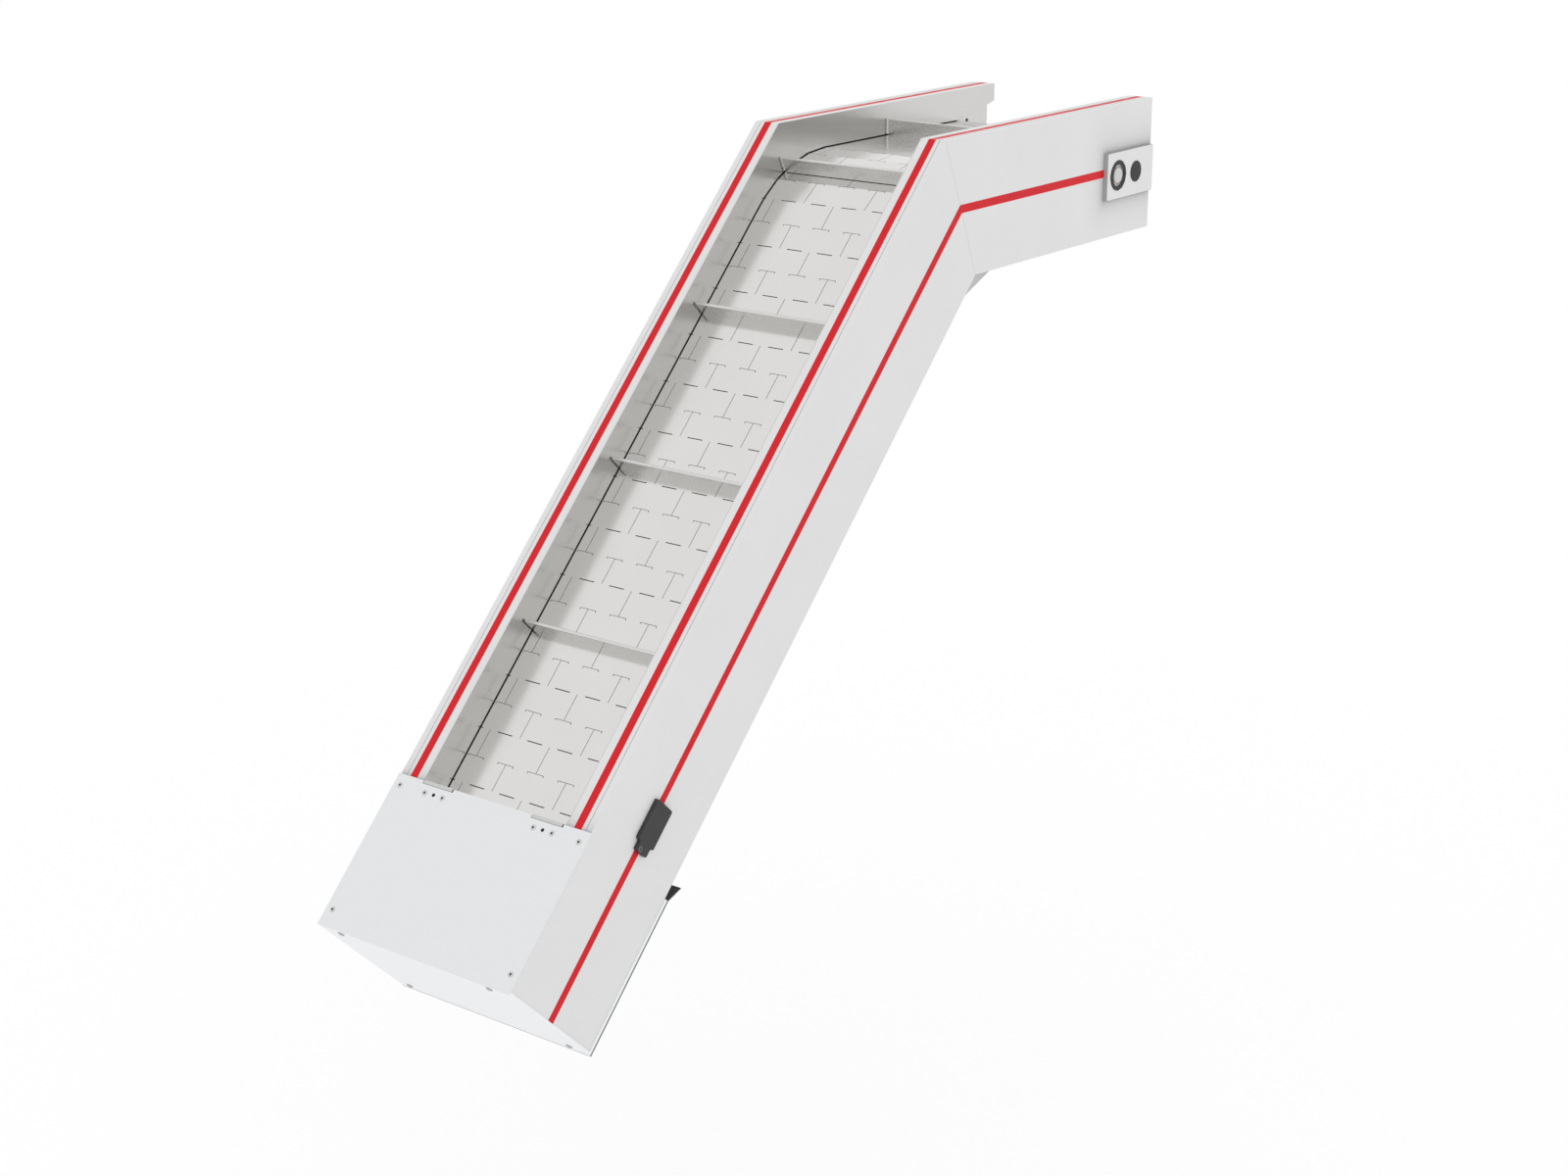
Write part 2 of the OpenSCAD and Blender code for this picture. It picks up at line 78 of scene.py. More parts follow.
class Finish:
    """A procedural finish: one shader and the textures that feed it."""

    def __init__(self, name, colour, roughness, metallic=0.0, specular=0.5):
        self.material = bpy.data.materials.new(name)
        self.material.use_nodes = True
        self.tree = self.material.node_tree
        self.shader = self.tree.nodes["Principled BSDF"]
        self.colour = colour
        self.shader.inputs["Base Color"].default_value = (*colour, 1)
        self.shader.inputs["Roughness"].default_value = roughness
        self.shader.inputs["Metallic"].default_value = metallic
        self.shader.inputs["Specular IOR Level"].default_value = specular
        self.place = self.tree.nodes.new("ShaderNodeTexCoord").outputs["Object"]

    def link(self, output, socket):
        self.tree.links.new(output, socket)

    def stretched(self, scale, turn=0.0):
        """Object coordinates turned about Y and stretched, for drawn lines."""
        mapping = self.tree.nodes.new("ShaderNodeMapping")
        mapping.inputs["Scale"].default_value = scale
        mapping.inputs["Rotation"].default_value = (0, turn, 0)
        self.link(self.place, mapping.inputs["Vector"])
        return mapping.outputs["Vector"]

    def noise(self, scale, detail=2.0, where=None):
        texture = self.tree.nodes.new("ShaderNodeTexNoise")
        texture.inputs["Scale"].default_value = scale
        texture.inputs["Detail"].default_value = detail
        self.link(where or self.place, texture.inputs["Vector"])
        return texture.outputs["Fac"]

    def ramp(self, value, low, high, start=0.35, end=0.65):
        """Turns a texture into values from low to high."""
        spread = self.tree.nodes.new("ShaderNodeMapRange")
        spread.inputs["From Min"].default_value = start
        spread.inputs["From Max"].default_value = end
        spread.inputs["To Min"].default_value = low
        spread.inputs["To Max"].default_value = high
        self.link(value, spread.inputs["Value"])
        return spread.outputs["Result"]

    def shade(self, value, low, high):
        """Lets the colour run between two shades of itself."""
        blend = self.tree.nodes.new("ShaderNodeMix")
        blend.data_type = "RGBA"
        blend.inputs["A"].default_value = (*[low * c for c in self.colour], 1)
        blend.inputs["B"].default_value = (*[high * c for c in self.colour], 1)
        self.link(self.ramp(value, 0, 1), blend.inputs["Factor"])
        self.link(blend.outputs["Result"], self.shader.inputs["Base Color"])
        return self

    def rough(self, value, low, high):
        self.link(self.ramp(value, low, high), self.shader.inputs["Roughness"])
        return self

    def near(self, middle, half, turn, strength, reach, end=0.086):
        """Darkens the coat beside a box, which is turned about Y by -turn: painted shade round
        a part, or a thin dark line along a seam or an edge.
        """
        mapping = self.tree.nodes.new("ShaderNodeMapping")
        mapping.inputs["Rotation"].default_value = (0, turn, 0)
        mapping.inputs["Location"].default_value = [-m for m in middle]
        self.link(self.place, mapping.inputs["Vector"])
        away = mapping.outputs["Vector"]
        for operation, value in (("ABSOLUTE", (0, 0, 0)), ("SUBTRACT", half),
                                 ("MAXIMUM", (0, 0, 0)), ("LENGTH", (0, 0, 0))):
            step = self.tree.nodes.new("ShaderNodeVectorMath")
            step.operation = operation
            step.inputs[1].default_value = value
            self.link(away, step.inputs[0])
            away = step.outputs["Value" if operation == "LENGTH" else "Vector"]
        wider = self.tree.nodes.new("ShaderNodeMath")
        wider.inputs[1].default_value = reach
        self.link(away, wider.inputs[0])
        closeness = self.tree.nodes.new("ShaderNodeMath")
        closeness.operation = "DIVIDE"
        closeness.inputs[0].default_value = reach
        self.link(wider.outputs["Value"], closeness.inputs[1])
        dimmed = self.tree.nodes.new("ShaderNodeVectorMath")
        dimmed.operation = "SCALE"
        base = self.shader.inputs["Base Color"]
        self.link(base.links[0].from_socket, dimmed.inputs[0])
        self.link(self.ramp(closeness.outputs["Value"], 1, 1 - strength, end, 1),
                  dimmed.inputs["Scale"])
        self.link(dimmed.outputs["Vector"], base)
        return self

    def bump(self, value, height):
        node = self.tree.nodes.new("ShaderNodeBump")
        node.inputs["Distance"].default_value = height
        self.link(value, node.inputs["Height"])
        self.link(node.outputs["Normal"], self.shader.inputs["Normal"])
        return self


def finish_node(finish, *names):
    """Gives CAD nodes a finish in place of their plain slot colour."""
    for name in names:
        nodes[name].data.materials.clear()
        nodes[name].data.materials.append(finish.material)


def finish_faces(finish, chosen, *names):
    """Gives another finish to the faces whose every corner is chosen."""
    for name in names:
        mesh, placed = nodes[name].data, nodes[name].matrix_world
        mesh.materials.append(finish.material)
        for face in mesh.polygons:
            if all(chosen(placed @ mesh.vertices[k].co) for k in face.vertices):
                face.material_index = len(mesh.materials) - 1


def grey_coat(name):
    coat = Finish(name, FRAME_GREY, 0.45, specular=0.3)
    coat.shade(coat.noise(6), 0.99, 1.01)
    coat.rough(coat.noise(240, 3), 0.40, 0.52)
    return coat.bump(coat.noise(900, 2), 0.00004)


def turned(point, turn):
    """A point in the axes that `near` measures in."""
    return Vector((point.x * cos(turn) + point.z * sin(turn), point.y,
                   point.z * cos(turn) - point.x * sin(turn)))


frame_paint = grey_coat("frame_paint")
finish_node(frame_paint, *FRAME_BEAMS, "head_plate_right", "head_plate_left")

# The outer faces carry painted shade round the head plates, and a fine dark line along the
# mitre.
side_paint = grey_coat("side_paint")
side_paint.near((KNEE.x + sum(PLATE_X) / 2, 0, KNEE.z - sum(PLATE_DEPTH) / 2),
                ((PLATE_X[1] - PLATE_X[0]) / 2, 1,
                 (PLATE_DEPTH[1] - PLATE_DEPTH[0]) / 2), 0, 0.47, 0.0085)
side_paint.near((turned(KNEE, SLOPE / 2).x, 0, 0), (0.0002, 1, 2), SLOPE / 2,
                0.20, 0.0003)
finish_faces(side_paint, lambda at: abs(at.y) > OUTER_Y - 0.0001, *FRAME_BEAMS)

# The top faces carry painted shade in front of the tail cover, and a thin darker line along
# their inner edge.
top_paint = grey_coat("top_paint")
top_paint.near((turned(KNEE, SLOPE).x - sum(COVER_T) / 2, 0, 0),
               ((COVER_T[1] - COVER_T[0]) / 2, 1, 2), SLOPE, 0.52, 0.004)
top_paint.near((0, 0, 0), (3, INNER_Y + 0.0008, 3), 0, 0.28, 0.0003)


def on_top(at):
    return max(at.z - KNEE.z, turned(at - KNEE, SLOPE).z) > -0.0001


finish_faces(top_paint, on_top, *FRAME_BEAMS)

# The faces of the grooves in the beams are a dark grey: painted shade in the grooves.
groove_shade = Finish("groove_shade", GROOVE_SHADE, 0.6)
groove_shade.shade(groove_shade.noise(60, 3), 0.95, 1.05)
finish_faces(groove_shade, lambda at: GROOVE_Y[0] < abs(at.y) < GROOVE_Y[1],
             *FRAME_BEAMS)

lining_steel = Finish("lining_steel", LINING_STEEL, 0.24, metallic=1.0)
lining_steel.shade(lining_steel.noise(500, 3), 0.985, 1.01)
lining_steel.rough(lining_steel.noise(400, 3), 0.22, 0.26)
finish_faces(lining_steel, lambda at: abs(abs(at.y) - INNER_Y) < 0.0002, *FRAME_BEAMS)

# Red strips: extruded plastic profiles pressed into slots in the top and outer
# faces, with faint drawing lines along their length.
STRIP_RED = (0.635, 0.016, 0.024)

strip_red = Finish("strip_red", STRIP_RED, 0.4, specular=0.12)
drawn = strip_red.stretched((4, 300, 300), SLOPE)
strip_red.shade(strip_red.noise(1.0, 3, drawn), 0.95, 1.05)
strip_red.rough(strip_red.noise(60, 3), 0.34, 0.46)
strip_red.bump(strip_red.noise(1.0, 2, drawn), 0.00004)
finish_node(strip_red, "top_strip_right", "top_strip_left",
            "side_strip_right", "side_strip_left")

# Pans and cross plates: plain sheet between the beams, painted grey, seen from
# below and through the open ends.
SHEET_GREY = (0.48, 0.48, 0.47)

sheet_grey = Finish("sheet_grey", SHEET_GREY, 0.5)
sheet_grey.shade(sheet_grey.noise(9, 3), 0.94, 1.04)
sheet_grey.rough(sheet_grey.noise(120, 3), 0.42, 0.58)
sheet_grey.bump(sheet_grey.noise(700, 2), 0.00006)
finish_node(sheet_grey, "incline_pan", "head_pan", "head_cross_plate",
            "incline_cross_plate")

# Slider bed: a low-friction sheet on the bed plate under the carrying run. Its black
# is painted shade: it shows as a black line along both edges of the belt, where the gap to the
# walls is in shade.
SHADE_BLACK = (0.012, 0.012, 0.012)

shade_black = Finish("shade_black", SHADE_BLACK, 0.6, specular=0.1)
shade_black.shade(shade_black.noise(40, 3), 0.85, 1.15)
finish_node(shade_black, "slider_bed")

# Knee bracket: a welded triangle under the knee, in a grey darker than the beams: painted
# shade.
KNEE_BRACKET_SHADE = (0.50, 0.50, 0.50)

knee_bracket_shade = Finish("knee_bracket_shade", KNEE_BRACKET_SHADE, 0.5)
knee_bracket_shade.shade(knee_bracket_shade.noise(14, 3), 0.94, 1.05)
knee_bracket_shade.bump(knee_bracket_shade.noise(500, 2), 0.00008)
finish_node(knee_bracket_shade, "knee_bracket")

# Tail box: white sheet covers over the lower end, with a fine speckled coat,
# and a pale guard sheet below.
COVER_WHITE = (0.76, 0.775, 0.785)
END_WHITE = (0.86, 0.874, 0.888)

cover_white = Finish("cover_white", COVER_WHITE, 0.5, specular=0.3)
cover_white.shade(cover_white.noise(420, 4), 0.98, 1.02)
cover_white.rough(cover_white.noise(300, 3), 0.44, 0.58)
cover_white.bump(cover_white.noise(1100, 3), 0.00006)
finish_node(cover_white, "tail_cover", "lower_guard")
# The end plate and the bottom cover take a lighter copy of this white: painted light.
end_white = Finish("end_white", END_WHITE, 0.5, specular=0.3)
end_white.shade(end_white.noise(420, 4), 0.985, 1.01)
end_white.rough(end_white.noise(300, 3), 0.44, 0.58)
finish_node(end_white, "end_plate", "bottom_cover")

# Guard lining: a dark rubber sheet between the bottom cover and the guard,
# seen as a thin dark line and inside the flared lip.
LINING_DARK = (0.036, 0.036, 0.035)

lining_rubber = Finish("lining_rubber", LINING_DARK, 0.75, specular=0.3)
lining_rubber.shade(lining_rubber.noise(30, 3), 0.9, 1.12)
lining_rubber.bump(lining_rubber.noise(500, 3), 0.0001)
finish_node(lining_rubber, "guard_lining")

# Cover brackets: folded steel angles screwed under the top cover. Their front
# bars show in the two notches.
BRACKET_PALE = (0.57, 0.57, 0.56)

bracket_pale = Finish("bracket_pale", BRACKET_PALE, 0.45)
bracket_pale.shade(bracket_pale.noise(300, 3), 0.94, 1.03)
finish_node(bracket_pale, "cover_brackets")

# Screws: countersunk socket screws along the top cover, and low button heads round the
# end plate, all zinc plated. Their rims, and the button heads' sockets, are a darker copy of
# the head grey, and the countersunk sockets black: painted shade.
COVER_TOP = -0.0025
END_FACE = 1.637
CORNER_SCREWS_T = (1.377, 1.607)
CORNER_SCREW_Y = 0.194
BRACKET_SCREWS_Y = (0.0989, 0.1381)
BUTTON_HEADS = ((0.1614, 0.0080), (0.1768, 0.2347))
HEAD_GREY = (0.60, 0.60, 0.60)
ZINC = (0.60, 0.60, 0.59)
DARK_AND_SHADE = (0.03, 0.03, 0.03)

head_grey = Finish("head_grey", HEAD_GREY, 0.5, specular=0.3)
head_grey.shade(head_grey.noise(700, 3), 0.96, 1.04)
rim_shade = Finish("rim_shade", [0.6 * c for c in HEAD_GREY], 0.5, specular=0.3)
rim_shade.shade(rim_shade.noise(700, 3), 0.94, 1.06)
zinc = Finish("zinc", ZINC, 0.35, metallic=0.6)
zinc.rough(zinc.noise(900, 3), 0.28, 0.42)
# Black for the dark parts, and painted shade in the screw sockets, vent holes and notches.
dark_and_shade = Finish("dark_and_shade", DARK_AND_SHADE, 0.6)
dark_and_shade.shade(dark_and_shade.noise(600, 2), 0.8, 1.2)


def on_incline(t, y, depth):
    """A point t down the incline from the knee, depth below its top edge."""
    return KNEE + Vector((-t * cos(SLOPE) + depth * sin(SLOPE), y,
                          -t * sin(SLOPE) - depth * cos(SLOPE)))


UP_SLOPE = Vector((cos(SLOPE), 0, sin(SLOPE)))
OFF_SLOPE = Vector((-sin(SLOPE), 0, cos(SLOPE)))


def add_piece(name, mesh, materials, slot_name, *replaced):
    """Puts a mesh in the scene as a piece that rides on the one body."""
    for finish in materials:
        mesh.materials.append(finish.material)
    piece = bpy.data.objects.new(name, mesh)
    bpy.context.scene.collection.objects.link(piece)
    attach(piece, "root")
    if replaced:
        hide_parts(*replaced)
    return piece


def lathe(mesh, profile, centre, axis, side, sides=24, finishes=()):
    """Turns (radius, height) steps about an axis; finishes maps step to slot."""
    across = axis.cross(side).normalized()
    rings = []
    for radius, height in profile:
        if radius == 0:
            rings.append([mesh.verts.new(centre + axis * height)])
            continue
        rings.append([mesh.verts.new(
            centre + axis * height
            + (side * cos(2 * pi * k / sides) + across * sin(2 * pi * k / sides)) * radius)
            for k in range(sides)])
    for step, (low, high) in enumerate(zip(rings, rings[1:])):
        for k in range(sides):
            nxt = (k + 1) % sides
            if len(high) == 1:
                face = mesh.faces.new((low[k], low[nxt], high[0]))
            else:
                face = mesh.faces.new((low[k], low[nxt], high[nxt], high[k]))
            if step < len(finishes):
                face.material_index = finishes[step]


def screws(name, places, profile, finishes):
    mesh = bmesh.new()
    for centre, axis, side in places:
        lathe(mesh, profile, centre, axis, side, 24, finishes)
    data = bpy.data.meshes.new(name)
    mesh.to_mesh(data)
    mesh.free()
    return add_piece(name, data, (head_grey, rim_shade, dark_and_shade), "bright_steel")


COUNTERSUNK = ((0.0052, -0.0004), (0.0050, 0.0003), (0.0046, 0.0007), (0.0021, 0.0007),
               (0.0018, 0.0001), (0, 0.0001))
BUTTON = ((0.0056, 0.0), (0.0056, 0.0008), (0.0050, 0.0018), (0.0040, 0.0024),
          (0.0019, 0.0027), (0.0017, 0.0020), (0, 0.0020))

cover_places = [(t, s * CORNER_SCREW_Y) for t in CORNER_SCREWS_T for s in (-1, 1)]
cover_places += [(CORNER_SCREWS_T[0], s * y) for y in BRACKET_SCREWS_Y for s in (-1, 1)]
screws("cover_screws", [(on_incline(t, y, COVER_TOP), OFF_SLOPE, UP_SLOPE)
                        for t, y in cover_places],
       COUNTERSUNK, (1, 0, 0, 2, 2))
screws("end_screws", [(on_incline(END_FACE, s * y, depth), -UP_SLOPE, OFF_SLOPE)
                      for y, depth in BUTTON_HEADS for s in (-1, 1)],
       BUTTON, (1, 1, 0, 0, 1, 1))

# Cover shade: a black cup in each vent hole between the bracket screws, and a black block
# at the right end of each notch: painted shade, the dark inside the holes and notches.
VENT_AT = (1.3765, 0.1185)
HOLE_SHADE = ((0.0031, -0.0004), (0.0031, 0.0003), (0.0024, 0.0003), (0.0022, -0.0015),
           (0, -0.0015))
NOTCH_SHADE_Y = (-0.0340, -0.0312)
NOTCH_SHADE_T = (1.3578, 1.3628)
NOTCH_SHADE_DEPTH = (-0.0024, 0.0004)

cover_shade_mesh = bmesh.new()
for side in (-1, 1):
    middle = side * VENT_AT[1]
    lathe(cover_shade_mesh, HOLE_SHADE, on_incline(VENT_AT[0], middle, COVER_TOP), OFF_SLOPE, UP_SLOPE)
    rows = []
    for depth in NOTCH_SHADE_DEPTH:
        rows.append([cover_shade_mesh.verts.new(on_incline(t, middle + y, depth))
                     for t, y in ((NOTCH_SHADE_T[0], NOTCH_SHADE_Y[0]), (NOTCH_SHADE_T[1], NOTCH_SHADE_Y[0]),
                                  (NOTCH_SHADE_T[1], NOTCH_SHADE_Y[1]), (NOTCH_SHADE_T[0], NOTCH_SHADE_Y[1]))])
    for k in range(4):
        cover_shade_mesh.faces.new((rows[0][k - 1], rows[0][k], rows[1][k], rows[1][k - 1]))
    for row in rows:
        cover_shade_mesh.faces.new(row)
bmesh.ops.recalc_face_normals(cover_shade_mesh, faces=cover_shade_mesh.faces)
cover_shade_data = bpy.data.meshes.new("cover_painted_shade")
cover_shade_mesh.to_mesh(cover_shade_data)
cover_shade_mesh.free()
add_piece("cover_painted_shade", cover_shade_data, (dark_and_shade,), "rubber_lining")

# Belt: hinged plates of polished steel on cross pins. They are laid like bricks,
# so that each hinge line shows as short dashes or caps and every second row has
# a seam at the same place.
BELT_STEEL = (0.71, 0.703, 0.69)
GAP_SHADE = (0.16, 0.16, 0.155)
GRIND = 0.49
BELT_HALF = 0.1530
BELT_T = 0.010
DROP = 0.0595
BEND_R = 0.280
WRAP_R = 0.0725
HEAD_AXIS = 0.581
TAIL_AXIS = 1.463
HINGE_START = 0.0385
ROWS = 86
COLUMN = 0.0659
DASH_HALF = 0.01625
CAP_HALF = 0.0170
DASH_W = 0.0009
CAP_W = 0.00045
SEAM_W = 0.0005
HOOK_L = 0.0032
HOOK_W = 0.0007
DASH_DEPTH = 0.0025
CAP_DEPTH = 0.0010
SEAM_DEPTH = 0.0014
KNUCKLE_DEPTH = 0.0028
KNUCKLE_W = 0.0022
OPEN_ANGLE = radians(20)
PIN_R = 0.0026
PIN_PROUD = 0.0003

half_tan = tan(SLOPE / 2)
axis_drop = DROP + WRAP_R
bend_x = (DROP + BEND_R) * half_tan
bend_drop = DROP + BEND_R
return_drop = axis_drop + WRAP_R
return_r = bend_drop - return_drop
runs = (TAIL_AXIS - bend_x, BEND_R * SLOPE, HEAD_AXIS - bend_x, pi * WRAP_R,
        HEAD_AXIS - bend_x, return_r * SLOPE, TAIL_AXIS - bend_x, pi * WRAP_R)
loop_length = sum(runs)
row_length = loop_length / ROWS


def slope_point(x, z):
    return Vector((x * cos(SLOPE) - z * sin(SLOPE), 0, x * sin(SLOPE) + z * cos(SLOPE)))


def arc_point(centre, radius, angle):
    return centre + Vector((radius * cos(angle), 0, radius * sin(angle)))


def belt_point(s, depth=0.0):
    """The belt's outer face at a length s along the loop, moved inward by depth."""
    s %= loop_length
    run = 0
    while s >= runs[run]:
        s -= runs[run]
        run += 1
    part = s / runs[run]
    bend = Vector((bend_x, 0, -bend_drop))
    if run == 0:
        return slope_point(s - TAIL_AXIS, -DROP - depth)
    if run == 1:
        return arc_point(bend, BEND_R - depth, pi / 2 + SLOPE * (1 - part))
    if run == 2:
        return Vector((bend_x + s, 0, -DROP - depth))
    if run == 3:
        return arc_point(Vector((HEAD_AXIS, 0, -axis_drop)), WRAP_R - depth,
                         pi / 2 - pi * part)
    if run == 4:
        return Vector((HEAD_AXIS - s, 0, depth - return_drop))
    if run == 5:
        return arc_point(bend, return_r + depth, pi / 2 + SLOPE * part)
    if run == 6:
        return slope_point(-bend_x - s, depth - return_drop)
    return arc_point(slope_point(-TAIL_AXIS, -axis_drop), WRAP_R - depth,
                     SLOPE - pi / 2 - pi * part)


def hinge_at(i):
    return belt_point(HINGE_START + (i % ROWS) * row_length)


def plate_frame(i):
    """Start, direction of travel, outward normal and length of plate row i."""
    start = hinge_at(i)
    along = hinge_at(i + 1) - start
    length = along.length
    along.normalize()
    return start, along, Vector((-along.z, 0, along.x)), length


def mitre_at(i):
    """The line between plate rows i - 1 and i, square to neither unless straight."""
    before, after = plate_frame(i - 1)[2], plate_frame(i)[2]
    mitre = (before + after).normalized()
    return mitre / mitre.dot(after)


def ground(finish, finest, coarsest):
    """Grinding lines along the belt spread what it mirrors across it."""
    around = finish.tree.nodes.new("ShaderNodeTangent")
    around.direction_type = "RADIAL"
    around.axis = "Y"
    finish.link(around.outputs["Tangent"], finish.shader.inputs["Tangent"])
    finish.shader.inputs["Anisotropic"].default_value = GRIND
    finish.shader.inputs["Anisotropic Rotation"].default_value = 0.25
    return finish.rough(finish.noise(400, 3), finest, coarsest)


belt_steel = ground(Finish("belt_steel", BELT_STEEL, 0.17, metallic=1.0), 0.16, 0.18)
belt_steel.shade(belt_steel.noise(7, 3), 0.99, 1.01)
# The faces in the plates' grooves and hinge gaps are a dark grey: painted shade.
gap_shade = Finish("gap_shade", GAP_SHADE, 0.7)
gap_shade.shade(gap_shade.noise(80, 3), 0.9, 1.1)

columns = [k * COLUMN for k in range(-2, 3)]
dashes = [(k + 0.5) * COLUMN for k in range(-3, 3)]


def grooves(row):
    """The grooves of a plate row: (from, to, low y, high y, depth) in its length."""
    length = plate_frame(row)[3]
    found = []
    for hinge, at in ((row, 0.0), (row + 1, length)):
        if hinge % 2 == 0:
            for y in dashes:
                found.append((at - DASH_W, at + DASH_W, y - DASH_HALF, y + DASH_HALF,
                              DASH_DEPTH))
        else:
            for y in columns:
                found.append((at - CAP_W, at + CAP_W, y - CAP_HALF, y + CAP_HALF,
                              CAP_DEPTH))
                if hinge == row + 1:
                    for end in (-1, 1):
                        middle = y + end * CAP_HALF
                        found.append((at - HOOK_L, at, middle - HOOK_W, middle + HOOK_W,
                                      CAP_DEPTH))
        before, after = plate_frame(hinge - 1)[1], plate_frame(hinge)[1]
        if before.angle(after) > OPEN_ANGLE:
            for k, y in enumerate(dashes):
                found.append((at - KNUCKLE_W, at + KNUCKLE_W, y - DASH_HALF,
                              y + DASH_HALF, KNUCKLE_DEPTH))
    for k, y in enumerate(columns):
        if (k + row) % 2 == 1:
            found.append((0.0, length, y - SEAM_W, y + SEAM_W, SEAM_DEPTH))
    return found


def belt_mesh():
    """The whole loop as one skin whose cells lie flush or in a groove."""
    mesh = bmesh.new()
    ys = {-BELT_HALF, BELT_HALF}
    for y in dashes:
        ys |= {y - DASH_HALF, y + DASH_HALF}
    for y in columns:
        ys |= {y - SEAM_W, y + SEAM_W}
        for end in (-CAP_HALF, CAP_HALF):
            ys |= {y + end, y + end - HOOK_W, y + end + HOOK_W}
    ys = sorted(y for y in ys if abs(y) <= BELT_HALF + 1e-9)
    lines = []
    cells = []
    for row in range(ROWS):
        start, along, normal, length = plate_frame(row)
        mitre = mitre_at(row)
        cuts = sorted({KNUCKLE_W, DASH_W, CAP_W, length - CAP_W, length - DASH_W,
                       length - KNUCKLE_W, length - HOOK_L})
        us = [0.0] + cuts
        lines.append((start, mitre))
        lines += [(start + along * u, normal) for u in cuts]
        row_grooves = grooves(row)
        for low, high in zip(us, us[1:] + [length]):
            middle = (low + high) / 2
            hits = [g for g in row_grooves if g[0] < middle < g[1]]
            cells.append([max([g[4] for g in hits if g[2] < (a + b) / 2 < g[3]],
                              default=0.0) for a, b in zip(ys, ys[1:])])
    made = {}

    def corner(line, k, depth):
        line %= len(lines)
        key = (line, k, round(depth * 1e6))
        if key not in made:
            at, off = lines[line]
            made[key] = mesh.verts.new(KNEE + at - off * depth + Vector((0, ys[k], 0)))
        return made[key]

    def add(corners, groove):
        if len(set(corners)) == len(corners):
            face = mesh.faces.new(corners)
            face.material_index = 1 if groove else 0

    for line, row_cells in enumerate(cells):
        ahead = cells[(line + 1) % len(cells)]
        for k, depth in enumerate(row_cells):
            add((corner(line, k, depth), corner(line + 1, k, depth),
                 corner(line + 1, k + 1, depth), corner(line, k + 1, depth)), depth > 0)
            if ahead[k] != depth:
                add((corner(line + 1, k, depth), corner(line + 1, k, ahead[k]),
                     corner(line + 1, k + 1, ahead[k]), corner(line + 1, k + 1, depth)),
                    True)
            if k and row_cells[k - 1] != depth:
                other = row_cells[k - 1]
                add((corner(line, k, other), corner(line + 1, k, other),
                     corner(line + 1, k, depth), corner(line, k, depth)), True)
        for k, depth in ((0, row_cells[0]), (len(ys) - 1, row_cells[-1])):
            add((corner(line, k, depth), corner(line + 1, k, depth),
                 corner(line + 1, k, BELT_T), corner(line, k, BELT_T)), False)
        add((corner(line, 0, BELT_T), corner(line + 1, 0, BELT_T),
             corner(line + 1, len(ys) - 1, BELT_T), corner(line, len(ys) - 1, BELT_T)),
            False)
    bmesh.ops.recalc_face_normals(mesh, faces=mesh.faces)
    data = bpy.data.meshes.new("belt_plates")
    mesh.to_mesh(data)
    mesh.free()
    return data


add_piece("belt_plates", belt_mesh(), (belt_steel, gap_shade), "belt_plates", "belt")

pins = bmesh.new()
for row in range(ROWS):
    start, along, normal, length = plate_frame(row)
    for end in (-1, 1):
        side = Vector((0, end, 0))
        centre = KNEE + start - normal * BELT_T / 2 + side * BELT_HALF
        lathe(pins, ((PIN_R, -0.0004), (PIN_R, PIN_PROUD * 0.6), (PIN_R * 0.8, PIN_PROUD),
                     (0, PIN_PROUD)), centre, side, along, 12)
pins_data = bpy.data.meshes.new("hinge_pins")
pins.to_mesh(pins_data)
pins.free()
add_piece("hinge_pins", pins_data, (zinc,), "bright_steel")

# Gap strips: thin black strips stand along both walls, a little above the plates from the
# tail shaft to the head shaft. Their black is painted shade for the gap between belt and wall.
EDGE_Y = (0.1534, 0.1540)
EDGE_RISE = 0.0016
EDGE_FOOT = 0.0106

last_row = int((sum(runs[:3]) - HINGE_START) // row_length)
fold = [(plate_frame(row)[0], mitre_at(row)) for row in range(last_row + 1)]
start, along, normal, length = plate_frame(last_row)
fold.append((start + along * (HEAD_AXIS - start.x), normal))
edges = bmesh.new()
for side in (-1, 1):
    rings = []
    for at, off in fold:
        rings.append([edges.verts.new(KNEE + at - off * depth + Vector((0, side * y, 0)))
                      for y, depth in ((EDGE_Y[0], -EDGE_RISE), (EDGE_Y[1], -EDGE_RISE),
                                       (EDGE_Y[1], EDGE_FOOT), (EDGE_Y[0], EDGE_FOOT))])
    for low, high in zip(rings, rings[1:]):
        for k in range(4):
            edges.faces.new((low[k - 1], low[k], high[k], high[k - 1]))
    edges.faces.new(rings[0])
    edges.faces.new(list(reversed(rings[-1])))
bmesh.ops.recalc_face_normals(edges, faces=edges.faces)
gap_shade_data = bpy.data.meshes.new("gap_shade_strips")
edges.to_mesh(gap_shade_data)
edges.free()
add_piece("gap_shade_strips", gap_shade_data, (shade_black,), "guide_plastic")

# Cleats: upright steel bars across the plates with a rounded top edge. Where the belt
# bends, the plate falls away and leaves a slot under the cleat's foot; the slot's faces are
# black as painted shade.
CLEAT_START = 0.1025
CLEAT_GAP = 0.3282
CLEAT_H = 0.0303
CLEAT_T = 0.006
CLEAT_HALF = 0.150
SLOT_H = 0.0011
SLOT_DEPTH = 0.0010
TOP_R = 0.0012
CURVE_STEPS = 4

CLEAT_STEEL = (0.665, 0.658, 0.645)

cleat_steel = ground(Finish("cleat_steel", CLEAT_STEEL, 0.28, metallic=1.0), 0.26, 0.29)
cleat_steel.shade(cleat_steel.noise(12, 3), 0.99, 1.01)


